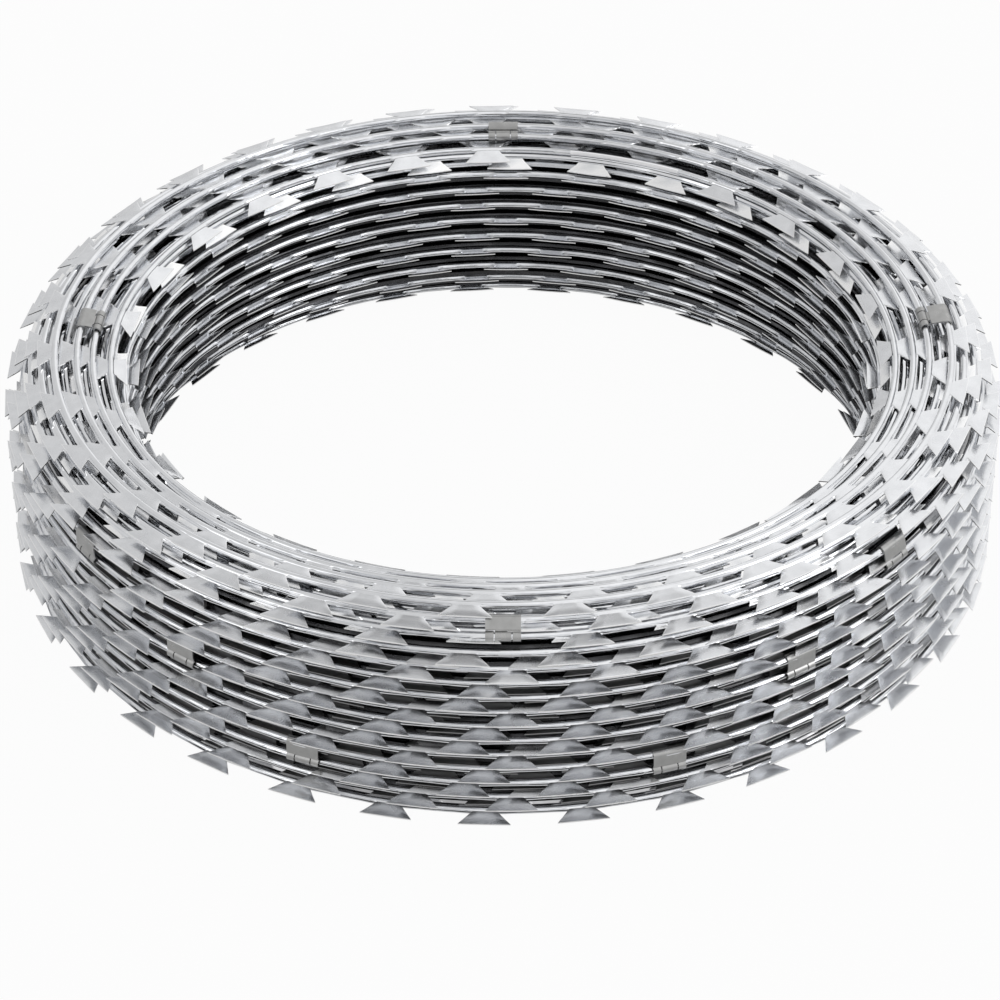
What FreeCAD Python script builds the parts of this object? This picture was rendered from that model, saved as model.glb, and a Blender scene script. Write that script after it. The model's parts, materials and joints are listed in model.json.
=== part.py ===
import FreeCAD, Part
import math
import os

# Concertina razor wire coil, closed up and lying flat.
# Millimetres. +Z is the coil's axis, and the origin is the middle of the coil on the floor.

# Overall size
tip_radius = 225.0          # outermost barb tips: a 450 mm coil
bundle_width = 45.2         # from the outside wall's turns to the turns round the bore

# The strand: tape crimped round a spring-steel wire
strand_width = 3.0
barb_pitch = 40.4           # along the strand, from one pair of barbs to the next
barb_length = 22.0          # long cutting edge
barb_neck = 9.8             # width where the barb leaves the strand
barb_reach = 6.4            # from the strand to the cutting edge
barb_thickness = 0.6        # where it leaves the strand; it thins to its cutting edge
root_sink = 0.6             # how far a barb runs into its strand
wall_droop = 11.0           # degrees that the barbs of the upright wall hang down
shoulder_droop = 7.0
crown_droop = (4.0, 2.0, 5.0, 0.0)
rim_droop = 30.0            # the crown's last turn has barbs on both sides; these hang into the bore
bore_droop = -24.0          # below it they point inwards and up

# How the turns are stacked
wall_turns = 11             # rows on the upright outside wall
turn_rise = 7.5             # from one row to the next
turn_clearance = 0.1        # between a turn and the turns it lies against
stagger = (-2.0, 0.9, -4.2)  # degrees, where the barbs of three rows in a row start; then again

# Rounded shoulder and domed crown: each turn's inset from the wall and lift above its last row
shoulder_steps = ((1.6, 6.9), (5.3, 12.7), (10.2, 17.4))
crown_steps = ((15.9, 20.6), (25.7, 18.8), (32.7, 17.0), (40.5, 13.9))

# Inside wall: rows below the crown's last turn, down to a heel that slopes away from the bore
bore_rows = 9
bore_drop = 10.9            # from the crown's last turn to the first row
bore_rise = 8.8
bore_stagger = (179.5, 184.5, 185.2)
heel_width = 16.0
heel_height = 24.0

# Clips: thin sheet bent round two neighbouring turns, as (lower turn of the pair, angle)
clip_width = 13.5
clip_sheet = 0.8
clip_clearance = 0.15
clip_lip_tuck = 0.8         # how far its lips reach behind the middle of the strand
clip_to_barb = 2.0
clip_places = (
    (15, 180.0), (14, 94.0), (15, -94.0),
    (12, 0.0), (10, 49.0), (9, 125.0), (9, -54.0), (9, -126.0),
    (6, -38.0), (6, 34.5), (6, 107.0), (6, 179.0), (6, -110.0),
    (2, -22.4), (2, 18.4), (2, 162.0), (2, -166.0),
)

half = strand_width / 2
wall_radius = tip_radius - barb_reach * math.cos(math.radians(wall_droop)) - half
wall_top = half + (wall_turns - 1) * turn_rise
bore_turn_radius = wall_radius - bundle_width
up = FreeCAD.Vector(0, 0, 1)
across = FreeCAD.Vector(1, 0, 0)
centre = FreeCAD.Vector(0, 0, 0)


def heel_shift(height):
    """How far the inside wall has moved away from the bore at this height."""
    return heel_width * max(0.0, heel_height - height) / heel_height


def place_turns():
    """Radius, height, barb droop and zone of every barbed turn: up the wall, over the crown, down the bore."""
    turns = []
    for row in range(wall_turns):
        turns.append((wall_radius, half + row * turn_rise, wall_droop, "wall"))
    for inset, lift in shoulder_steps:
        turns.append((wall_radius - inset, wall_top + lift, shoulder_droop, "shoulder"))
    for (inset, lift), droop in zip(crown_steps, crown_droop):
        turns.append((wall_radius - inset, wall_top + lift, droop, "crown"))
    first_row = turns[-1][1] - bore_drop
    for row in range(bore_rows):
        height = first_row - row * bore_rise
        turns.append((bore_turn_radius + heel_shift(height + half), height, bore_droop, "bore"))
    return turns


def barb_count(radius):
    """The pitch along the strand fixes how many barbs a turn has."""
    return round(2 * math.pi * radius / barb_pitch)


def corner_radius(radius, count):
    """A turn runs straight past each barb, at this radius; the corners between its runs stand further out."""
    return radius / math.cos(math.pi / count)


def straight_sided_ring(radius, count, start):
    """Closed outline with one straight run for each barb; the runs' middles lie at the given radius."""
    corner = corner_radius(radius, count)
    points = []
    for step in range(count + 1):
        angle = math.radians(start + (step + 0.5) * 360.0 / count)
        points.append(FreeCAD.Vector(corner * math.sin(angle), -corner * math.cos(angle), 0))
    return Part.Face(Part.makePolygon(points))


def barb(radius, height, angle, droop, side):
    """One trapezoid blade with its root in the strand; side is 1 outwards or -1 towards the bore."""
    flare = (barb_length - barb_neck) / 2 / barb_reach
    root_half = barb_neck / 2 - root_sink * flare
    tip_half = barb_length / 2
    outline = ((-root_half, -root_sink), (root_half, -root_sink), (tip_half, barb_reach), (-tip_half, barb_reach))
    points = [FreeCAD.Vector(x, -out * side, -barb_thickness) for x, out in outline]
    plate = Part.Face(Part.makePolygon(points + points[:1])).extrude(up * barb_thickness * 2)
    wedge = ((-root_sink, barb_thickness / 2), (barb_reach, 0.0), (-root_sink, -barb_thickness / 2))
    points = [FreeCAD.Vector(-tip_half, -out * side, z) for out, z in wedge]
    plate = plate.common(Part.Face(Part.makePolygon(points + points[:1])).extrude(across * barb_length))
    plate.rotate(centre, across, droop * side)
    plate.translate(FreeCAD.Vector(0, -(radius + side * half), height))
    plate.rotate(centre, up, angle)
    return plate


def under_a_clip(angle, radius, clip_angles):
    """A barb that would lie under a clip is pressed flat below it, so the turn has none there."""
    keep_out = math.degrees((clip_width / 2 + barb_neck / 2 + clip_to_barb) / radius)
    for clip_angle in clip_angles:
        apart = abs((angle - clip_angle + 180.0) % 360.0 - 180.0)
        if apart < keep_out:
            return True
    return False


def barbed_turn(index, turns):
    """One turn of the strand: its straight runs, fused with the barbs along it on one side or both."""
    radius, height, droop, zone = turns[index]
    count = barb_count(radius)
    start = (bore_stagger if zone == "bore" else stagger)[index % len(stagger)]
    clip_angles = [angle for lower, angle in clip_places if index in (lower, lower + 1)]
    outside = straight_sided_ring(radius + half, count, start)
    inside = straight_sided_ring(radius - half, count, start)
    strand = outside.cut(inside).extrude(up * strand_width)
    strand.translate(up * (height - half))
    hang = [(-1, droop)] if zone == "bore" else [(1, droop)]
    if index == len(turns) - bore_rows - 1:
        hang.append((-1, rim_droop))
    barbs = []
    for step in range(count):
        angle = start + step * 360.0 / count
        if not under_a_clip(angle, radius, clip_angles):
            barbs.extend(barb(radius, height, angle, lean, side) for side, lean in hang)
    return strand.multiFuse(barbs)


def many_sided_ring(outline, sides, start):
    """Solid ring with this (corner radius, height) outline; start is the middle of one of its flat sides."""
    faces = []
    for step in range(sides):
        ends = [math.radians(start + (step + offset) * 360.0 / sides) for offset in (-0.5, 0.5)]
        for lower, upper in zip(outline, outline[1:] + outline[:1]):
            corners = ((lower, ends[0]), (lower, ends[1]), (upper, ends[1]), (upper, ends[0]))
            points = [FreeCAD.Vector(r * math.sin(a), -r * math.cos(a), z) for (r, z), a in corners]
            faces.append(Part.Face(Part.makePolygon(points + points[:1])))
    shell = Part.makeShell(faces)
    shell.sewShape()
    solid = Part.Solid(shell)
    if solid.Volume < 0:
        solid.reverse()
    return solid.removeSplitter()


def wound_core(turns):
    """The turns inside the bundle, as one solid with its bore; the barbed turns lie on it all round.
    Towards the bore its top goes down in steps, each cut back for the barbs of the next turn. In a wider
    bundle a ledge below the barbs of the crown's last turn carries on to the rows of the inside wall."""
    seat = half + turn_clearance
    sides = barb_count(wall_radius)
    inside = corner_radius(bore_turn_radius + half, barb_count(bore_turn_radius)) + turn_clearance
    inside = corner_radius(inside, sides)
    outline = [(wall_radius - seat, 0.0), (wall_radius - seat, wall_top)]
    skin = turns[wall_turns:-bore_rows]
    for place, (radius, height, droop, zone) in enumerate(skin):
        edge = max(radius - seat, inside)
        if outline[-1][1] > height - seat:
            outline.append((outline[-1][0], height - seat))
        if place + 1 < len(skin) and skin[place + 1][1] < height:
            barb_tips = math.hypot(skin[place + 1][0] + half + barb_reach, barb_length / 2)
            edge = corner_radius(barb_tips + turn_clearance, sides)
        outline.append((edge, height - seat))
    if edge > inside:
        ledge = skin[-1][1] - half - barb_reach * math.sin(math.radians(rim_droop)) - turn_clearance
        outline.append((edge, ledge))
        outline.append((inside, ledge))
    outline.append((inside, heel_height))
    outline.append((inside + heel_width, 0.0))
    start = sum(stagger) / len(stagger) + 180.0 / sides
    return many_sided_ring(outline, sides, start)


def clip(lower, angle, turns):
    """A sheet sleeve, open towards the bundle, whose lips hold two neighbouring turns together."""
    first = turns[lower]
    second = turns[lower + 1]
    span = math.hypot(second[0] - first[0], second[1] - first[1])
    along = ((second[0] - first[0]) / span, (second[1] - first[1]) / span)
    out = (along[1], -along[0])
    corners = []
    for radius, height, droop, zone in (first, second):
        for r in (radius - half, corner_radius(radius + half, barb_count(radius))):
            for z in (height - half, height + half):
                corners.append((r, z))
    runs = [r * along[0] + z * along[1] for r, z in corners]
    low = min(runs) - clip_clearance
    high = max(runs) + clip_clearance
    face = max(r * out[0] + z * out[1] for r, z in corners) + clip_clearance
    lip = first[0] * out[0] + first[1] * out[1] - clip_lip_tuck
    section = (
        (low - clip_sheet, lip), (low - clip_sheet, face + clip_sheet),
        (high + clip_sheet, face + clip_sheet), (high + clip_sheet, lip),
        (high, lip), (high, face), (low, face), (low, lip),
    )
    points = []
    for run, depth in section:
        r = run * along[0] + depth * out[0]
        z = run * along[1] + depth * out[1]
        points.append(FreeCAD.Vector(-clip_width / 2, -r, z))
    sleeve = Part.Face(Part.makePolygon(points + points[:1])).extrude(across * clip_width)
    sleeve.rotate(centre, up, angle)
    return sleeve


def save(shape, name):
    """One closed solid per file."""
    if len(shape.Solids) != 1 or not shape.isValid():
        raise ValueError(name + " is not one valid solid")
    solid = shape.Solids[0]
    solid.exportStep("parts/" + name + ".step")
    print(name, round(solid.Volume), "mm3")


os.makedirs("parts", exist_ok=True)
turns = place_turns()
save(wound_core(turns), "wound_core")
for index in range(len(turns)):
    save(barbed_turn(index, turns), "%s_turn_%02d" % (turns[index][3], index + 1))
for number, (lower, angle) in enumerate(clip_places):
    save(clip(lower, angle, turns), "clip_%02d" % (number + 1))
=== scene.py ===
import math
import bmesh
import bpy
import numpy as np
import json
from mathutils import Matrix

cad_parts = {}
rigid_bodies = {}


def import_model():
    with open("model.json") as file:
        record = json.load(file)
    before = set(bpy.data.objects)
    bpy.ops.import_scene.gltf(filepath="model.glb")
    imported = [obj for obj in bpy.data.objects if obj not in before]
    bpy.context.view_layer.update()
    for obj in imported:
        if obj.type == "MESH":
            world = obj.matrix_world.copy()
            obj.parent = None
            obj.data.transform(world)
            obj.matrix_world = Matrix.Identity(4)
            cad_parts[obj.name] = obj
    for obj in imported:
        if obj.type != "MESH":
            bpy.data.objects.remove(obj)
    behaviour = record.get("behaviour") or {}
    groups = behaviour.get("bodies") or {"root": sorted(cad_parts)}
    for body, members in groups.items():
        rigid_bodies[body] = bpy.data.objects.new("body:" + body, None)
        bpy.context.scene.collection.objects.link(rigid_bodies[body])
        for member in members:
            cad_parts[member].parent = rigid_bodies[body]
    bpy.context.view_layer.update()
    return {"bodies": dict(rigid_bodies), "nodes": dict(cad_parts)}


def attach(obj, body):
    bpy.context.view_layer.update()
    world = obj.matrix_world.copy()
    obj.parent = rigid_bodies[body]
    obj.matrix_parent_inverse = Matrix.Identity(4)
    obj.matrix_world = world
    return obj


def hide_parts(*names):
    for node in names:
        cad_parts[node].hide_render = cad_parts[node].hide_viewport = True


# Concertina razor wire coil: steel tape with trapezoid barbs, crimped round a spring wire,
# wound flat into a ring and held by folded clips. Metres, +Z is the coil's axis.
# Angles start at the front (-Y) and grow towards +X.
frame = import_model()
print("frame loaded")

# the strand, shared by every turn
strandHalf = 0.0015
tapeSheet = 0.0005
barbPitch = 0.0404      # along the strand
barbEdge = 0.022        # long cutting edge
barbNeck = 0.0098       # where the barb leaves the strand
barbReach = 0.0064
rootShare = 0.7         # of half a strand: a barb starts this far out, inside its strand
filletShare = 0.12      # of a barb's reach: how far the fillet at its neck goes
stagger = (-2.0, 0.9, -4.2)     # degrees, first barb of three turns in a row
boreStagger = (179.5, 184.5, 185.2)
rootDrop = -0.0011      # where the bore turns' barbs leave the pressed-flat web, at its lower edge
wireHalf = 0.00115
tapeGap = (151.0, 168.5)        # the tape ends here on the crown's last turn, and the bare wire goes on
clipHalf = 0.00675      # half the width of a clip in the frame
clipGap = 0.002         # from a clip to the next barb


def around(angles):
    """Directions for each angle in degrees: outwards (sin, -cos, 0), and along the turn (cos, sin, 0)."""
    turned = np.radians(np.asarray(angles, float))
    outward = np.stack([np.sin(turned), -np.cos(turned), 0 * turned], -1)
    onward = np.stack([np.cos(turned), np.sin(turned), 0 * turned], -1)
    return outward, onward


def gridQuads(rows, columns, wrapRows, wrapColumns):
    """Quads of a grid whose point (i, j) has number i * columns + j; a wrapped side joins its start again."""
    i = np.arange(rows if wrapRows else rows - 1)[:, None]
    j = np.arange(columns if wrapColumns else columns - 1)[None, :]
    nextI = (i + 1) % rows
    nextJ = (j + 1) % columns
    quads = np.stack([i * columns + j, nextI * columns + j, nextI * columns + nextJ, i * columns + nextJ], -1)
    return quads.reshape(-1, 4)


def addPiece(name, parts, material, marks=None, sharp=35):
    """One mesh object from (points, faces) parts; every shell's faces are turned outwards. marks holds, part
    by part, two values for each point: 1 on a cut edge, where the metal paints a highlight, and 1 on the flat
    plate of a barb."""
    points = np.concatenate([p.reshape(-1, 3) for p, f in parts])
    starts = np.cumsum([0] + [p.size // 3 for p, f in parts])
    faces = np.concatenate([f + start for (p, f), start in zip(parts, starts)])
    mesh = bpy.data.meshes.new(name)
    mesh.vertices.add(len(points))
    mesh.vertices.foreach_set("co", points.astype(np.float32).ravel())
    mesh.loops.add(faces.size)
    mesh.loops.foreach_set("vertex_index", faces.astype(np.int32).ravel())
    mesh.polygons.add(len(faces))
    mesh.polygons.foreach_set("loop_start", np.arange(0, faces.size, 4, dtype=np.int32))
    mesh.update(calc_edges=True)
    values = np.zeros((len(points), 2), np.float32)
    if marks is not None:
        values[:] = np.concatenate([m.reshape(-1, 2) for m in marks])
    for column, label in enumerate(("cutEdge", "plate")):
        layer = mesh.attributes.new(label, "FLOAT", "POINT")
        layer.data.foreach_set("value", values[:, column].copy())
    work = bmesh.new()
    work.from_mesh(mesh)
    bmesh.ops.recalc_face_normals(work, faces=work.faces)
    work.to_mesh(mesh)
    work.free()
    mesh.polygons.foreach_set("use_smooth", np.ones(len(mesh.polygons), bool))
    mesh.set_sharp_from_angle(angle=math.radians(sharp))
    mesh.materials.append(material)
    piece = bpy.data.objects.new(name, mesh)
    bpy.context.scene.collection.objects.link(piece)
    return piece


# materials: effects first, then one function for each metal

def effect(name, inputs, outputs):
    """Empty shader group with (name, type, value) inputs and (name, type) outputs."""
    group = bpy.data.node_groups.new(name, "ShaderNodeTree")
    for label, kind, value in inputs:
        group.interface.new_socket(label, in_out="INPUT", socket_type=kind).default_value = value
    for label, kind in outputs:
        group.interface.new_socket(label, in_out="OUTPUT", socket_type=kind)
    return group, group.nodes.new("NodeGroupInput"), group.nodes.new("NodeGroupOutput")


def step(nodes, kind, **settings):
    """New shader node of this kind with these settings."""
    node = nodes.new(kind)
    for key, value in settings.items():
        setattr(node, key, value)
    return node


def rolledGrain():
    """Fine lines that run along the turns: noise over the direction round the axis, radius and height."""
    group, given, result = effect(
        "rolledGrain",
        [("Length", "NodeSocketFloat", 40.0), ("Fineness", "NodeSocketFloat", 2500.0)],
        [("Grain", "NodeSocketFloat")])
    nodes, links = group.nodes, group.links
    place = step(nodes, "ShaderNodeTexCoord")
    flat = step(nodes, "ShaderNodeVectorMath", operation="MULTIPLY")
    flat.inputs[1].default_value = (1, 1, 0)
    radius = step(nodes, "ShaderNodeVectorMath", operation="LENGTH")
    toward = step(nodes, "ShaderNodeVectorMath", operation="NORMALIZE")
    stretched = step(nodes, "ShaderNodeVectorMath", operation="SCALE")
    height = step(nodes, "ShaderNodeSeparateXYZ")
    rise = step(nodes, "ShaderNodeMath", operation="MULTIPLY")
    across = step(nodes, "ShaderNodeMath", operation="MULTIPLY")
    upward = step(nodes, "ShaderNodeCombineXYZ")
    both = step(nodes, "ShaderNodeVectorMath", operation="ADD")
    noise = step(nodes, "ShaderNodeTexNoise", noise_dimensions="4D")
    noise.inputs["Scale"].default_value = 1.0
    noise.inputs["Detail"].default_value = 3.0
    links.new(place.outputs["Object"], flat.inputs[0])
    links.new(place.outputs["Object"], height.inputs[0])
    links.new(flat.outputs[0], radius.inputs[0])
    links.new(flat.outputs[0], toward.inputs[0])
    links.new(toward.outputs[0], stretched.inputs[0])
    links.new(given.outputs["Length"], stretched.inputs["Scale"])
    links.new(height.outputs["Z"], rise.inputs[0])
    links.new(given.outputs["Fineness"], rise.inputs[1])
    links.new(radius.outputs["Value"], across.inputs[0])
    links.new(given.outputs["Fineness"], across.inputs[1])
    links.new(rise.outputs[0], upward.inputs["Z"])
    links.new(stretched.outputs[0], both.inputs[0])
    links.new(upward.outputs[0], both.inputs[1])
    links.new(both.outputs[0], noise.inputs["Vector"])
    links.new(across.outputs[0], noise.inputs["W"])
    links.new(noise.outputs["Fac"], result.inputs["Grain"])
    return group


def zincBloom():
    """Cloudy patches of the zinc coat, as a mask from 0 to 1."""
    group, given, result = effect(
        "zincBloom",
        [("Size", "NodeSocketFloat", 90.0), ("Contrast", "NodeSocketFloat", 0.5)],
        [("Bloom", "NodeSocketFloat")])
    nodes, links = group.nodes, group.links
    place = step(nodes, "ShaderNodeTexCoord")
    noise = step(nodes, "ShaderNodeTexNoise")
    noise.inputs["Detail"].default_value = 4.0
    spread = step(nodes, "ShaderNodeMapRange")
    lower = step(nodes, "ShaderNodeMath", operation="MULTIPLY")
    lower.inputs[1].default_value = 0.5
    upper = step(nodes, "ShaderNodeMath", operation="SUBTRACT")
    upper.inputs[0].default_value = 1.0
    links.new(place.outputs["Object"], noise.inputs["Vector"])
    links.new(given.outputs["Size"], noise.inputs["Scale"])
    links.new(given.outputs["Contrast"], lower.inputs[0])
    links.new(lower.outputs[0], upper.inputs[1])
    links.new(noise.outputs["Fac"], spread.inputs["Value"])
    links.new(lower.outputs[0], spread.inputs["From Min"])
    links.new(upper.outputs[0], spread.inputs["From Max"])
    links.new(spread.outputs[0], result.inputs["Bloom"])
    return group


def metal(name, look, grain, bloom):
    """Coated steel: bloom mixes two greys and sets the gloss, which is softer on the barbs' flat plates;
    grain is a fine relief, and the sheared edges carry a painted highlight, a brighter base colour."""
    material = bpy.data.materials.new(name)
    material.use_nodes = True
    nodes, links = material.node_tree.nodes, material.node_tree.links
    shader = nodes["Principled BSDF"]
    shader.inputs["Metallic"].default_value = 1.0
    lines = step(nodes, "ShaderNodeGroup", node_tree=grain)
    lines.inputs["Length"].default_value = look["grainLength"]
    lines.inputs["Fineness"].default_value = look["grainFineness"]
    clouds = step(nodes, "ShaderNodeGroup", node_tree=bloom)
    clouds.inputs["Size"].default_value = look["bloomSize"]
    clouds.inputs["Contrast"].default_value = look["bloomContrast"]
    tint = step(nodes, "ShaderNodeMix", data_type="RGBA")
    tint.inputs[6].default_value = (*look["dull"], 1)
    tint.inputs[7].default_value = (*look["bright"], 1)
    # painted highlight: the cut edges get the edge colour mixed into the base colour
    rim = step(nodes, "ShaderNodeAttribute", attribute_name="cutEdge")
    edged = step(nodes, "ShaderNodeMix", data_type="RGBA")
    edged.inputs[7].default_value = (*look["edge"], 1)
    gloss = step(nodes, "ShaderNodeMapRange")
    gloss.inputs["To Min"].default_value = look["rough"][0]
    gloss.inputs["To Max"].default_value = look["rough"][1]
    plate = step(nodes, "ShaderNodeAttribute", attribute_name="plate")
    softer = step(nodes, "ShaderNodeMath", operation="MULTIPLY_ADD")
    softer.inputs[1].default_value = look["plateSofter"]
    relief = step(nodes, "ShaderNodeBump")
    relief.inputs["Strength"].default_value = look["relief"]
    relief.inputs["Distance"].default_value = 0.0001
    links.new(clouds.outputs["Bloom"], tint.inputs[0])
    links.new(rim.outputs["Fac"], edged.inputs[0])
    links.new(tint.outputs[2], edged.inputs[6])
    links.new(edged.outputs[2], shader.inputs["Base Color"])
    links.new(clouds.outputs["Bloom"], gloss.inputs["Value"])
    links.new(plate.outputs["Fac"], softer.inputs[0])
    links.new(gloss.outputs[0], softer.inputs[2])
    links.new(softer.outputs[0], shader.inputs["Roughness"])
    links.new(lines.outputs["Grain"], relief.inputs["Height"])
    links.new(relief.outputs[0], shader.inputs["Normal"])
    return material


# The edge colours below are painted highlights: they lighten the base colour along the barbs' cut edges.
tapeLook = {
    "dull": (0.78, 0.79, 0.81), "bright": (0.87, 0.88, 0.90), "edge": (1.0, 1.0, 1.0),
    "rough": (0.12, 0.08), "plateSofter": 0.16, "bloomSize": 120.0, "bloomContrast": 0.6,
    "grainLength": 60.0, "grainFineness": 2600.0, "relief": 0.03,
}
# Painted shade: a darker copy of the tape for the turns just behind the wall, standing in for the shade they
# lie in.
secondShadeLook = dict(tapeLook, dull=(0.40, 0.40, 0.41), bright=(0.55, 0.55, 0.56), edge=(0.8, 0.8, 0.8))
# Painted shade: a near-black copy of the tape for the turns buried in the bundle, standing in for the shade
# between the walls.
paintedShadeLook = dict(tapeLook, dull=(0.08, 0.08, 0.083), bright=(0.15, 0.15, 0.155), edge=(0.3, 0.3, 0.3),
                  rough=(0.3, 0.2))
wireLook = {
    "dull": (0.88, 0.88, 0.90), "bright": (0.96, 0.96, 0.97), "edge": (0.95, 0.95, 0.95),
    "rough": (0.14, 0.09), "plateSofter": 0.0, "bloomSize": 200.0, "bloomContrast": 0.4,
    "grainLength": 30.0, "grainFineness": 3000.0, "relief": 0.03,
}
clipLook = {
    "dull": (0.38, 0.38, 0.375), "bright": (0.46, 0.46, 0.455), "edge": (0.75, 0.75, 0.74),
    "rough": (0.34, 0.26), "plateSofter": 0.0, "bloomSize": 260.0, "bloomContrast": 0.5,
    "grainLength": 400.0, "grainFineness": 1500.0, "relief": 0.12,
}
grainEffect = rolledGrain()
bloomEffect = zincBloom()
tapeSteel = metal("galvanisedTape", tapeLook, grainEffect, bloomEffect)
secondShadeSteel = metal("secondLayerPaintedShadeTape", secondShadeLook, grainEffect, bloomEffect)
paintedShadeSteel = metal("paintedShadeTape", paintedShadeLook, grainEffect, bloomEffect)
wireSteel = metal("springWire", wireLook, grainEffect, bloomEffect)
clipSteel = metal("clipSheet", clipLook, grainEffect, bloomEffect)
print("materials made")


# the barbed strand

def barbCount(radius):
    """The pitch along the strand fixes how many barbs a turn has."""
    return round(2 * math.pi * radius / barbPitch)


fineBead = {
    "seams": (26.0, 148.0), "seamSteps": (-8.0, 0.0, 8.0), "even": 13,
    "seamDepth": 0.2, "seamWidth": 5.5, "lip": 0.55, "lipAt": (-14.0, -7.0, 7.0, 13.0),
    "alongNeck": (0.0, 0.0044, 0.0052, 0.0060, 0.0090, 0.0150),
    "openTo": 0.0075, "webDepth": 0.94, "punchAt": 0.0052, "punchWidth": 0.0005, "punchDepth": 0.2,
}
crimp = {
    "lipHalf": 8.0, "thinFrom": 0.005, "thinOver": 0.010, "thinBy": 0.55,
    "slopeFrom": 8.0, "slopeTo": 80.0, "slopeFacing": 45.0, "pressedOut": 1.8, "pressedLift": 0.93,
}
plainBead = {
    "seams": (), "seamSteps": (), "even": 6, "seamDepth": 0.0, "seamWidth": 7.0,
    "lip": 0.0, "lipAt": (), "alongNeck": (0.0,),
    "openTo": 0.0090, "webDepth": 1.0, "punchAt": 0.0056, "punchWidth": 0.0005, "punchDepth": 0.0,
}
midBead = dict(fineBead, seams=(), even=8, punchDepth=0.0, alongNeck=(0.0, 0.0060, 0.0130))


def beadAngles(look):
    """Even angles round the bead, with close ones at its seams and at the lip on its barbed side; angle 0
    faces the barb."""
    even = np.arange(look["even"]) * 360.0 / look["even"] + 15.0
    close = [seam + offset for seam in look["seams"] for offset in look["seamSteps"]]
    kept = [a for a in even if all(abs(a - seam) > 14 for seam in look["seams"])
            and (not look["lipAt"] or min(a, 360 - a) > 20)]
    return np.radians(np.sort(np.array(kept + close + list(look["lipAt"]))))


def strandStations(radius, count, start, look):
    """Angles along a turn, close together at every barb's neck, and each one's distance from its barb."""
    halfPitch = math.pi * radius / count
    reach = np.array([a for a in look["alongNeck"] if a < halfPitch * 0.9])
    local = np.concatenate([-reach[:0:-1], reach, [halfPitch]])
    angles = start + np.arange(count)[:, None] * 360.0 / count + np.degrees(local / radius)[None, :]
    return angles.ravel(), np.tile(np.abs(local), count)


def strandSurface(radius, height, angles, distance, look, side, flatWeb):
    """Bead carried round the axis. Its radius is half a strand, plus the lip on the barbed side, less a V at
    each seam, less the round punch beside the neck. At a neck the side above the barb is a flat slope, where
    the radius is webDepth / cos(angle - 45 degrees), or with flatWeb the barbed side is pressed upright:
    out = half * min(1, 1.8 cos), lift = 0.93 half * sin."""
    turn = beadAngles(look)
    tilt = (np.degrees(turn) + 180) % 360 - 180
    seams = np.zeros_like(turn)
    for seam in look["seams"]:
        seams += np.exp(-((np.degrees(turn) - seam) / look["seamWidth"]) ** 2)
    lip = look["lip"] * (np.abs(tilt) < crimp["lipHalf"])
    thinned = 1 - crimp["thinBy"] * np.clip((distance - crimp["thinFrom"]) / crimp["thinOver"], 0, 1)
    facing = np.cos(turn)
    opened = np.clip((look["openTo"] - distance) / (look["openTo"] - look["punchAt"]), 0, 1)
    punch = np.exp(-((distance - look["punchAt"]) / look["punchWidth"]) ** 2)
    swell = (1 - look["seamDepth"] * seams[None, :] * (1 - opened[:, None]) + lip[None, :] * thinned[:, None]
             - look["punchDepth"] * np.clip(facing, 0, 1)[None, :] * punch[:, None])
    slope = look["webDepth"] / np.cos(np.radians(np.clip(tilt, 0, crimp["slopeTo"]) - crimp["slopeFacing"]))
    slope = np.where(tilt > crimp["slopeFacing"], np.minimum(slope, 1), slope)
    above = (tilt > crimp["slopeFrom"]) & (tilt < crimp["slopeTo"])
    sloped = (opened[:, None] > 0.99) & above[None, :] & (not flatWeb)
    swell = np.where(sloped, slope[None, :], swell)
    out = swell * facing[None, :]
    lift = swell * np.sin(turn)[None, :]
    if flatWeb:
        pressed = (opened[:, None] > 0.99) & (facing > 0)[None, :]
        out = np.where(pressed, np.minimum(1, crimp["pressedOut"] * facing)[None, :], out)
        lift = np.where(pressed, crimp["pressedLift"] * np.sin(turn)[None, :], lift)
    outward, onward = around(angles)
    points = (radius + side * strandHalf * out)[..., None] * outward[:, None, :]
    points[..., 2] = height + strandHalf * lift
    return points


fineBarb = {
    "reachSteps": (-0.18, 0.0, 0.09, 0.40, 0.955, 1.0),
    "edgeSteps": (-1.0, -0.94, -0.45, 0.0, 0.45, 0.94, 1.0),
    "rootLift": 0.0004, "bend": 1.2, "endLift": 0.0002, "rollover": 0.0001, "fillet": 0.0003,
}
plainBarb = {
    "reachSteps": (-0.18, 1.0), "edgeSteps": (-1.0, 1.0),
    "rootLift": 0.0002, "bend": 1.0, "endLift": 0.0, "rollover": 0.0, "fillet": 0.0,
}
midBarb = dict(fineBarb, reachSteps=(-0.18, 0.0, 0.40, 1.0), edgeSteps=(-1.0, 0.0, 1.0))


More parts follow.
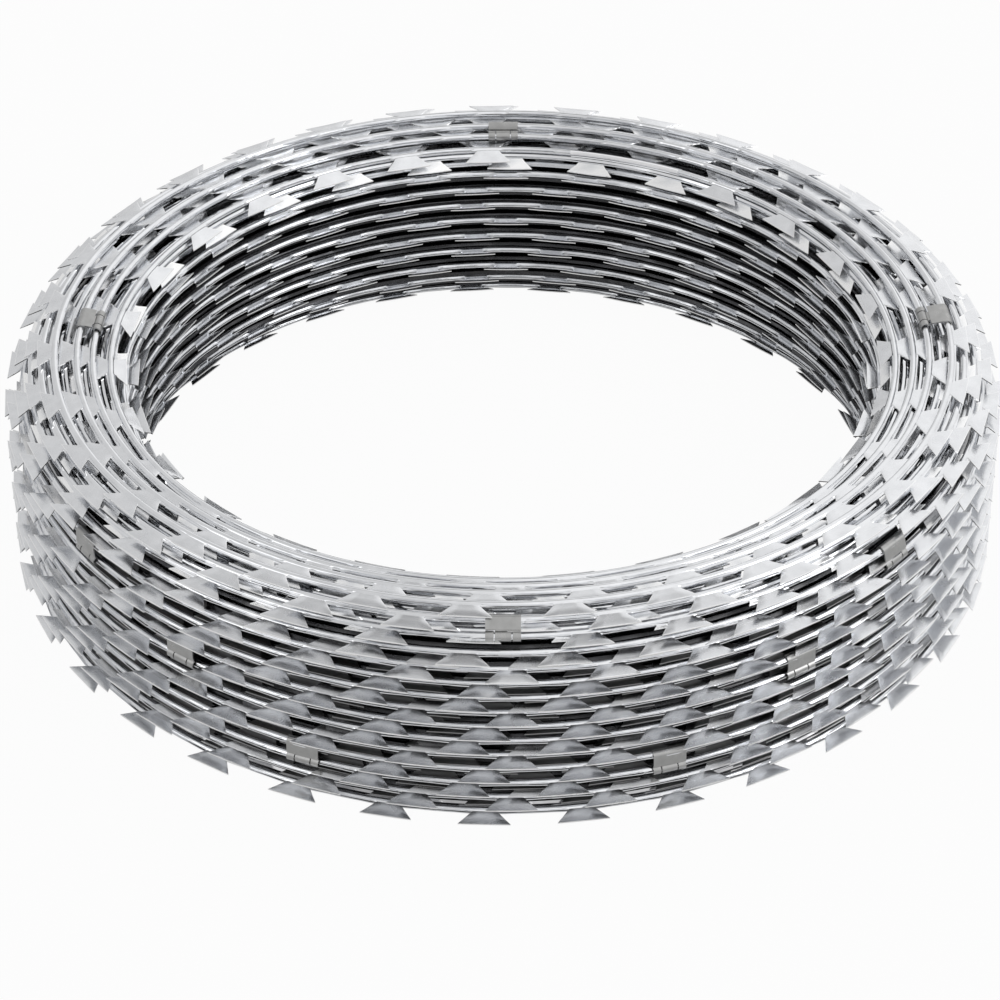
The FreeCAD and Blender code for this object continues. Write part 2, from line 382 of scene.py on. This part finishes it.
def barbPlates(radius, height, angles, lean, look, side, rootAt):
    """Trapezoid barbs of one turn. Width grows evenly from neck to cutting edge, with a fillet at the neck;
    the top lies at rootAt + rootLift - (rootLift + drop) * (1 - (1 - t) ** bend) + endLift * t * w * w, where
    drop is reach * sin(lean), and its rim is rolled over. Nothing goes below the floor."""
    t = np.array(look["reachSteps"])[:, None]
    w = np.array(look["edgeSteps"])[None, :]
    inner = np.clip(t, 0, 1)
    drop = barbReach * math.sin(math.radians(lean))
    fillet = look["fillet"] * np.clip(1 - inner / filletShare, 0, 1) ** 2
    halfWidth = barbNeck / 2 + (barbEdge - barbNeck) / 2 * t + fillet
    onwardBy = w * np.where(t < 0, barbNeck / 2 + look["fillet"], halfWidth)
    reach = barbReach * math.cos(math.radians(lean)) + strandHalf * (1 - rootShare)
    outBy = strandHalf * rootShare + reach * t + 0 * w
    rim = np.maximum(np.abs(w) > 0.99, t > 0.99).astype(float)
    lift = look["rootLift"] - (look["rootLift"] + drop) * (1 - (1 - inner) ** look["bend"])
    lift = lift + look["endLift"] * inner * w * w - look["rollover"] * rim
    outward, onward = around(angles)
    top = (radius + side * outBy)[None, ..., None] * outward[:, None, None, :]
    top = top + onwardBy[None, ..., None] * onward[:, None, None, :]
    top[..., 2] = height + rootAt + lift[None] + tapeSheet / 2
    low = top.copy()
    low[..., 2] -= tapeSheet
    closed = np.concatenate([top, low[:, ::-1]], 1)
    closed[..., 2] = np.maximum(closed[..., 2], 0.00001)
    rims = np.concatenate([rim, rim[::-1]], 0)
    return closed, np.broadcast_to(rims, closed.shape[:-1])


def barbFaces(number, rows, columns):
    """Faces of closed barbs: the wrapped grid over top and underside, and a strip down both slanted sides."""
    wrapped = gridQuads(2 * rows, columns, True, False)
    i = np.arange(rows - 1)
    j = 2 * rows - 1 - i
    sides = [np.stack([i * columns + k, (i + 1) * columns + k, (j - 1) * columns + k, j * columns + k], -1)
             for k in (0, columns - 1)]
    one = np.concatenate([wrapped] + sides)
    each = np.arange(number)[:, None, None] * (2 * rows * columns)
    return (one[None] + each).reshape(-1, 4)


def cutOpen(points, angles, gap):
    """Bead between two cut ends: the stations outside the gap in order, with quads zipped over both ends."""
    ahead = np.mod(angles - gap[1], 360)
    order = np.argsort(ahead)
    kept = order[ahead[order] <= 360 - (gap[1] - gap[0])]
    number = points.shape[1]
    i = np.arange(number // 2 - 1)
    ends = [np.stack([k + i, k + i + 1, k + number - 2 - i, k + number - 1 - i], -1)
            for k in (0, (len(kept) - 1) * number)]
    return points[kept], np.concatenate([gridQuads(len(kept), number, False, True)] + ends)


def turnParts(radius, height, count, start, beadLook, barbLook, hang, bare=(), flatWeb=False, gap=None):
    """Mesh parts of one whole turn: its bead, and its barbs; hang lists (side, lean) in degrees.
    Barbs that lie under a clip are left off, and so is everything in a gap between two cut ends."""
    angles, distance = strandStations(radius, count, start, beadLook)
    keepOut = math.degrees((clipHalf + barbNeck / 2 + clipGap) / radius)
    barbAngles = start + np.arange(count) * 360.0 / count
    shown = np.ones(count, bool)
    for clipAngle in bare:
        shown &= np.abs((barbAngles - clipAngle + 180) % 360 - 180) >= keepOut
    bead = strandSurface(radius, height, angles, distance, beadLook, hang[0][0] if hang else 1, flatWeb)
    faces = gridQuads(bead.shape[0], bead.shape[1], True, True)
    if gap:
        halfBarb = math.degrees(barbEdge / 2 / radius)
        shown &= np.mod(barbAngles - gap[1] - halfBarb, 360) < 360 - (gap[1] - gap[0]) - 2 * halfBarb
        bead, faces = cutOpen(bead, angles, gap)
    parts = [(bead, faces)]
    marks = [np.zeros(bead.shape[:-1] + (2,))]
    rootAt = rootDrop if flatWeb else 0.0
    rows, columns = len(barbLook["reachSteps"]), len(barbLook["edgeSteps"])
    for side, lean in hang:
        plates, rims = barbPlates(radius, height, barbAngles[shown], lean, barbLook, side, rootAt)
        parts.append((plates, barbFaces(int(shown.sum()), rows, columns)))
        marks.append(np.stack([rims, np.ones_like(rims)], -1))
    return parts, marks


# the turns on the outside wall, the top and the inside wall

def turnPlace(node):
    """Radius and height of a turn's middle, from its CAD ring: the corners of its flat top, or of its flat
    underside where the barbs rise, lie evenly about it and stand 0.6 % further out."""
    points = np.array([v.co for v in frame["nodes"][node].data.vertices])
    rising = node.startswith("bore")
    level = points[:, 2].min() if rising else points[:, 2].max()
    reach = np.hypot(*points[np.abs(points[:, 2] - level) < 1e-5, :2].T)
    corner = (reach.min() + reach.max()) / 2
    count = barbCount(corner * 0.994)
    return corner * math.cos(math.pi / count), level + (strandHalf if rising else -strandHalf)


def clipPlace(node):
    """Angle, radius and height of a clip's middle."""
    middle = np.array([v.co for v in frame["nodes"][node].data.vertices]).mean(0)
    return math.degrees(math.atan2(middle[0], -middle[1])), math.hypot(middle[0], middle[1]), middle[2]


turnNodes = sorted((n for n in frame["nodes"] if "_turn_" in n), key=lambda n: n[-2:])
clipNodes = sorted(n for n in frame["nodes"] if n.startswith("clip_"))
turnAt = [turnPlace(node) for node in turnNodes]
clipAt = [clipPlace(node) for node in clipNodes]
skinCount = sum(not node.startswith("bore") for node in turnNodes)
lastWall = sum(node.startswith("wall") for node in turnNodes) - 1
crownLean = (4.0, 2.0, 5.0, 0.0)
crownStart = skinCount - len(crownLean)


def pairOf(place):
    """The lower of the two turns that a clip holds: their midpoint is the nearest to the clip."""
    skin = turnAt[:skinCount]
    gaps = [math.hypot((a[0] + b[0]) / 2 - place[1], (a[1] + b[1]) / 2 - place[2])
            for a, b in zip(skin, skin[1:])]
    return gaps.index(min(gaps))


clipPairs = [pairOf(place) for place in clipAt]
barbLean = {"wall": 11.0, "shoulder": 7.0, "bore": -24.0}
rimLean = 30.0          # barbs of the crown's last turn that hang into the bore

for index, node in enumerate(turnNodes):
    radius, height = turnAt[index]
    zone = node.split("_")[0]
    lean = crownLean[index - skinCount] if zone == "crown" else barbLean[zone]
    bare = [place[0] for place, pair in zip(clipAt, clipPairs) if index in (pair, pair + 1)]
    hang = [(-1 if zone == "bore" else 1, lean)]
    if index == skinCount - 1:
        hang.append((-1, rimLean))
    start = (boreStagger if zone == "bore" else stagger)[index % 3]
    gap = tapeGap if index == skinCount - 1 else None
    parts, marks = turnParts(radius, height, barbCount(radius), start, fineBead, fineBarb, hang, bare,
                             zone == "bore", gap)
    piece = addPiece("tape_" + node, parts, tapeSteel, marks)
    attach(piece, "root")
    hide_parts(node)


wireBar = {"tuck": 1.5, "stations": 26, "sides": 10, "spare": 2.0}


def bareWire(radius, height, gap, look):
    """Round bar carried over the gap in the tape, with both of its ends inside the tape:
    out = radius + wireHalf * cos, up = height + wireHalf * sin."""
    angles = np.linspace(gap[0] - look["tuck"], gap[1] + look["tuck"], look["stations"])
    turn = np.arange(look["sides"]) * 2 * math.pi / look["sides"]
    outward, onward = around(angles)
    points = (radius + wireHalf * np.cos(turn)[None, :])[..., None] * outward[:, None, :]
    points[..., 2] = height + wireHalf * np.sin(turn)
    return cutOpen(points, angles, (gap[1] + look["spare"], 360 + gap[0] - look["spare"]))


rimNode = turnNodes[skinCount - 1]
wire = addPiece("spring_wire", [bareWire(*turnAt[skinCount - 1], tapeGap, wireBar)], wireSteel)
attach(wire, "root")
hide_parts(rimNode)
print("outer turns made")


# the turns inside the bundle

secondLayer = {
    "inset": 0.0046, "wallStagger": (6.1, 3.4, 8.0), "lean": 9.0, "leastRise": 0.0045,
    "rimDrop": 0.0033, "rimLean": 40.0, "rimStart": 5.6,
    "crownDrops": (0.0036, 0.0068, 0.0100), "crownShifts": (0.0, 0.0036, -0.0030),
    "crownStagger": (3.4, 8.1, 5.6), "crownLean": 1.0,
}
buried = {
    "columns": (0.2096, 0.2064, 0.2026, 0.1986, 0.1944, 0.1902, 0.1862, 0.1824, 0.1788, 0.1756),
    "rise": 0.0042, "underCrown": 0.0135, "heelFrom": 0.1885, "heelSlope": 0.66, "perTurn": 34, "lean": 9.0,
    "stagger": (3.1, -1.3, 5.2, 1.7),
}


def crownHeight(radius):
    """Height of the skin above a radius, straight between the skin turns."""
    spots = sorted(turnAt[lastWall:skinCount])
    return float(np.interp(radius, [r for r, z in spots], [z for r, z in spots]))


def wallSecondLayer():
    """Turns right behind the wall's rows, halfway up between them; one in three shows its barbs."""
    base = turnAt[0][0] - secondLayer["inset"]
    start = secondLayer["wallStagger"][2]
    parts, marks = turnParts(base, strandHalf, barbCount(base), start, midBead, midBarb, [])
    for row, (lower, upper) in enumerate(zip(turnAt[:skinCount], turnAt[1:skinCount])):
        if upper[1] < lower[1] + secondLayer["leastRise"]:
            break
        radius, height = (lower[0] + upper[0]) / 2 - secondLayer["inset"], (lower[1] + upper[1]) / 2
        hang = [(1, secondLayer["lean"])] if row % 3 == 1 else []
        start = secondLayer["wallStagger"][row % 3]
        more, rims = turnParts(radius, height, barbCount(radius), start, midBead, midBarb, hang)
        parts += more
        marks += rims
    return parts, marks


def crownSecondLayer():
    """Turns stacked under the gaps of the crown, and one under its last turn with barbs into the bore."""
    rimRadius, rimHeight = turnAt[skinCount - 1]
    parts, marks = turnParts(rimRadius, rimHeight - secondLayer["rimDrop"], barbCount(rimRadius),
                             secondLayer["rimStart"], midBead, midBarb, [(-1, secondLayer["rimLean"])])
    for row, (outer, inner) in enumerate(zip(turnAt[lastWall:skinCount], turnAt[lastWall + 1:skinCount])):
        if inner[1] >= outer[1] + secondLayer["leastRise"]:
            continue
        for i, (shift, drop) in enumerate(zip(secondLayer["crownShifts"], secondLayer["crownDrops"])):
            radius, height = (outer[0] + inner[0]) / 2 + shift, (outer[1] + inner[1]) / 2 - drop
            start = secondLayer["crownStagger"][(row + i) % 3]
            hang = [(1, secondLayer["crownLean"])]
            more, rims = turnParts(radius, height, barbCount(radius), start, midBead, midBarb, hang)
            parts += more
            marks += rims
    return parts, marks


def buriedTurns():
    """Columns of plain turns between the two walls; every other column sits half a row higher."""
    parts, marks = [], []
    for column, radius in enumerate(buried["columns"]):
        first = strandHalf + column % 2 * buried["rise"] / 2
        top = crownHeight(radius) - buried["underCrown"]
        for row, height in enumerate(np.arange(first, top, buried["rise"])):
            if height < (buried["heelFrom"] - radius) / buried["heelSlope"]:
                continue
            start = buried["stagger"][(row + column) % 4]
            hang = [(1, buried["lean"])] if column == 0 else []
            more, rims = turnParts(radius, height, buried["perTurn"], start, plainBead, plainBarb, hang)
            parts += more
            marks += rims
    return parts, marks


# Painted shade: the wall's second layer takes the darker copy of the tape.
for name, make, steel in (("tape_wall_second_layer", wallSecondLayer, secondShadeSteel),
                          ("tape_crown_second_layer", crownSecondLayer, tapeSteel),
                          # Painted shade: the buried turns take the near-black copy of the tape.
                          ("tape_buried_turns", buriedTurns, paintedShadeSteel)):
    parts, marks = make()
    piece = addPiece(name, parts, steel, marks)
    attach(piece, "root")
    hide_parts("wound_core")
print("inner turns made")


# the clips

clipLookShape = {
    "width": 0.0144, "sheet": 0.0006, "clear": 0.00015, "slit": 0.0005, "arcSteps": 9, "lipAngle": 195.0,
    "roll": 0.0007, "rollFrom": -50.0, "rollFades": 110.0, "rollSteps": 12, "plateTuck": 0.8,
    "tabRise": (0.12, 0.1), "acrossSteps": 4,
}


def clipSection(lower, upper, look):
    """Middle lines of the bent sheet as (outward, upward) points, both arcs about a turn's middle. The hook's
    radius is strandHalf + clear + sheet / 2, and the roll's has roll * (1 - angle / rollFades) more."""
    hug = strandHalf + look["clear"] + look["sheet"] / 2
    along = np.subtract(upper, lower)
    along = along / np.hypot(*along)
    out = np.array([along[1], -along[0]])
    out = out if out[0] + out[1] > 0 else -out
    sweep = np.radians(np.linspace(0, look["lipAngle"], look["arcSteps"]))
    rolled = np.radians(np.linspace(look["rollFrom"], look["lipAngle"], look["rollSteps"]))
    wide = hug + look["roll"] * np.clip(1 - np.abs(rolled) / math.radians(look["rollFades"]), 0, 1)
    lowArc = [np.array(lower) + r * (np.cos(a) * out - np.sin(a) * along) for a, r in zip(rolled, wide)][::-1]
    highArc = [np.array(upper) + hug * (np.cos(a) * out + np.sin(a) * along) for a in sweep]
    return np.array(lowArc), np.array(highArc)


def sheetStrip(line, sheet, left, right, angle, rows):
    """Closed strip of sheet: the middle line, moved half a sheet to each side along its normal, and carried
    from one place along the turn to another."""
    way = np.gradient(line, axis=0)
    way = way / np.hypot(way[:, 0], way[:, 1])[:, None]
    normal = np.stack([way[:, 1], -way[:, 0]], -1)
    loop = np.concatenate([line + normal * sheet / 2, (line - normal * sheet / 2)[::-1]])
    outward, onward = around([angle])
    across = np.linspace(left, right, rows)
    points = loop[None, :, 0, None] * outward[0] + across[:, None, None] * onward[0]
    points[..., 2] = loop[None, :, 1]
    count = len(loop)
    half = count // 2
    walls = gridQuads(rows, count, False, True)
    i = np.arange(half - 1)
    caps = [np.stack([k + i, k + i + 1, k + count - 2 - i, k + count - 1 - i], -1)
            for k in (0, (rows - 1) * count)]
    return points, np.concatenate([walls] + caps)


def clipParts(lower, upper, angle, look):
    """Plate and upper hook in full width; the lower roll is split into three tabs by two slits, and the
    middle tab runs a little way up the plate."""
    low, high = clipSection(lower, upper, look)
    half = look["width"] / 2
    quarter = half / 2
    tuck, rows = look["plateTuck"], look["acrossSteps"]
    plate = np.concatenate([low[-2:-1] * tuck + high[:1] * (1 - tuck), high])
    parts = [sheetStrip(plate, look["sheet"], -half, half, angle, rows)]
    slit = look["slit"] / 2
    rise = (high[:1] - low[-1:]) * look["tabRise"][0] + (high[:1] - low[-2:-1]) * look["tabRise"][1]
    tab = np.concatenate([low, low[-1:] + rise])
    for left, right, line in ((-half, -quarter - slit, low), (-quarter + slit, quarter - slit, tab),
                              (quarter + slit, half, low)):
        parts.append(sheetStrip(line, look["sheet"], left, right, angle, rows))
    return parts


for node, place, pair in zip(clipNodes, clipAt, clipPairs):
    rolled, plain = (pair, pair + 1) if pair < crownStart else (pair + 1, pair)
    parts = clipParts(turnAt[rolled], turnAt[plain], place[0], clipLookShape)
    piece = addPiece("folded_" + node, parts, clipSteel)
    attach(piece, "root")
    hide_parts(node)
print("clips made")


# floor, studio and camera

def paleFloor():
    """Matt floor that the camera, metal and glass see nearly white, with the coil's shadow still on it."""
    material = bpy.data.materials.new("paleFloor")
    material.use_nodes = True
    nodes, links = material.node_tree.nodes, material.node_tree.links
    nodes.clear()
    matt = step(nodes, "ShaderNodeBsdfDiffuse")
    matt.inputs["Color"].default_value = (0.45, 0.45, 0.45, 1)
    glow = step(nodes, "ShaderNodeEmission")
    glow.inputs["Strength"].default_value = 1.0
    rays = step(nodes, "ShaderNodeLightPath")
    seen = step(nodes, "ShaderNodeMath", operation="MAXIMUM")
    share = step(nodes, "ShaderNodeMath", operation="MULTIPLY")
    share.inputs[1].default_value = 0.96
    glossy = step(nodes, "ShaderNodeMath", operation="MULTIPLY")
    glossy.inputs[1].default_value = 0.4
    mix = step(nodes, "ShaderNodeMixShader")
    total = step(nodes, "ShaderNodeMath", operation="ADD")
    end = step(nodes, "ShaderNodeOutputMaterial")
    links.new(rays.outputs["Is Camera Ray"], seen.inputs[0])
    links.new(rays.outputs["Is Transmission Ray"], seen.inputs[1])
    links.new(seen.outputs[0], share.inputs[0])
    links.new(rays.outputs["Is Glossy Ray"], glossy.inputs[0])
    links.new(share.outputs[0], total.inputs[0])
    links.new(glossy.outputs[0], total.inputs[1])
    links.new(total.outputs[0], mix.inputs[0])
    links.new(matt.outputs[0], mix.inputs[1])
    links.new(glow.outputs[0], mix.inputs[2])
    links.new(mix.outputs[0], end.inputs["Surface"])
    return material


def studioWorld():
    """Bright all round but for a dark band high up behind the coil, which is darkest straight behind it and
    weak to both sides; less light from the left."""
    world = bpy.data.worlds.new("studio")
    bpy.context.scene.world = world
    world.use_nodes = True
    nodes, links = world.node_tree.nodes, world.node_tree.links
    nodes.clear()
    place = step(nodes, "ShaderNodeTexCoord")
    axes = step(nodes, "ShaderNodeSeparateXYZ")
    ramp = step(nodes, "ShaderNodeValToRGB")
    stops = ((0.0, 0.85), (0.1, 0.95), (0.6, 1.0), (1.0, 1.0))
    while len(ramp.color_ramp.elements) < len(stops):
        ramp.color_ramp.elements.new(0.5)
    for element, (position, value) in zip(ramp.color_ramp.elements, stops):
        element.position = position
        element.color = (value, value, value, 1)
    sideways = step(nodes, "ShaderNodeMapRange")
    sideways.inputs["From Min"].default_value = -0.2
    sideways.inputs["From Max"].default_value = 0.1
    sideways.inputs["To Min"].default_value = 0.7
    sideways.inputs["To Max"].default_value = 1.0
    band = step(nodes, "ShaderNodeValToRGB")
    for height, value in ((0.78, 1.0), (0.84, 0.08), (0.92, 0.08), (0.97, 1.0)):
        element = band.color_ramp.elements.new(height)
        element.color = (value, value, value, 1)
    band.color_ramp.elements[0].color = (1, 1, 1, 1)
    behind = step(nodes, "ShaderNodeMapRange")
    behind.inputs["From Min"].default_value = 0.1
    behind.inputs["From Max"].default_value = 0.3
    aside = step(nodes, "ShaderNodeMath", operation="ABSOLUTE")
    narrow = step(nodes, "ShaderNodeMapRange")
    narrow.inputs["From Min"].default_value = 0.05
    narrow.inputs["From Max"].default_value = 0.18
    narrow.inputs["To Min"].default_value = 1.0
    narrow.inputs["To Max"].default_value = 0.15
    ofBand = step(nodes, "ShaderNodeMath", operation="MULTIPLY")
    banded = step(nodes, "ShaderNodeMix", data_type="RGBA", blend_type="MULTIPLY")
    lit = step(nodes, "ShaderNodeMix", data_type="RGBA", blend_type="MULTIPLY")
    lit.inputs[0].default_value = 1.0
    sky = step(nodes, "ShaderNodeBackground")
    white = step(nodes, "ShaderNodeBackground")
    white.inputs["Color"].default_value = (1, 1, 1, 1)
    rays = step(nodes, "ShaderNodeLightPath")
    mix = step(nodes, "ShaderNodeMixShader")
    end = step(nodes, "ShaderNodeOutputWorld")
    links.new(place.outputs["Generated"], axes.inputs[0])
    links.new(axes.outputs["Z"], ramp.inputs[0])
    links.new(axes.outputs["X"], sideways.inputs["Value"])
    links.new(axes.outputs["Z"], band.inputs[0])
    links.new(axes.outputs["Y"], behind.inputs["Value"])
    links.new(axes.outputs["X"], aside.inputs[0])
    links.new(aside.outputs[0], narrow.inputs["Value"])
    links.new(behind.outputs[0], ofBand.inputs[0])
    links.new(narrow.outputs[0], ofBand.inputs[1])
    links.new(ofBand.outputs[0], banded.inputs[0])
    links.new(ramp.outputs["Color"], banded.inputs[6])
    links.new(band.outputs["Color"], banded.inputs[7])
    links.new(banded.outputs[2], lit.inputs[6])
    links.new(sideways.outputs[0], lit.inputs[7])
    links.new(lit.outputs[2], sky.inputs["Color"])
    links.new(rays.outputs["Is Camera Ray"], mix.inputs[0])
    links.new(sky.outputs[0], mix.inputs[1])
    links.new(white.outputs[0], mix.inputs[2])
    links.new(mix.outputs[0], end.inputs["Surface"])


def addFloor():
    """One square at height 0, from -side to side both ways."""
    mesh = bpy.data.meshes.new("floor")
    side = 12.0
    corners = [(-side, -side, 0), (side, -side, 0), (side, side, 0), (-side, side, 0)]
    mesh.from_pydata(corners, [], [(0, 1, 2, 3)])
    mesh.materials.append(paleFloor())
    floor = bpy.data.objects.new("floor", mesh)
    bpy.context.scene.collection.objects.link(floor)


def addLamp(name, place, size, power):
    """Square soft lamp that stays aimed at the origin of the coil's body."""
    lamp = bpy.data.lights.new(name, "AREA")
    lamp.energy = power
    lamp.size = size
    holder = bpy.data.objects.new(name, lamp)
    holder.location = place
    bpy.context.scene.collection.objects.link(holder)
    aim = holder.constraints.new("TRACK_TO")
    aim.target = frame["bodies"]["root"]
    aim.track_axis = "TRACK_NEGATIVE_Z"
    aim.up_axis = "UP_Y"


def addCamera():
    """Long lens that looks at a point on the axis, (0, -cos(elevation), sin(elevation)) * distance away."""
    distance, elevation, aimHeight = 1.6007, 0.624, 0.0042
    lens = bpy.data.cameras.new("camera")
    lens.lens = 123.36
    lens.sensor_width = 36
    lens.shift_x = -0.0031
    lens.clip_start = 0.01
    camera = bpy.data.objects.new("camera", lens)
    camera.location = (0, -math.cos(elevation) * distance, math.sin(elevation) * distance + aimHeight)
    camera.rotation_euler = (math.pi / 2 - elevation, 0, 0)
    bpy.context.scene.collection.objects.link(camera)
    bpy.context.scene.camera = camera


addFloor()
studioWorld()
addLamp("keyLamp", (1.6, -0.6, 1.1), 1.0, 6.0)
addLamp("fillLamp", (-1.5, -0.9, 0.9), 1.2, 3.0)
addCamera()
bpy.context.scene.view_settings.view_transform = "Standard"
print("studio made")
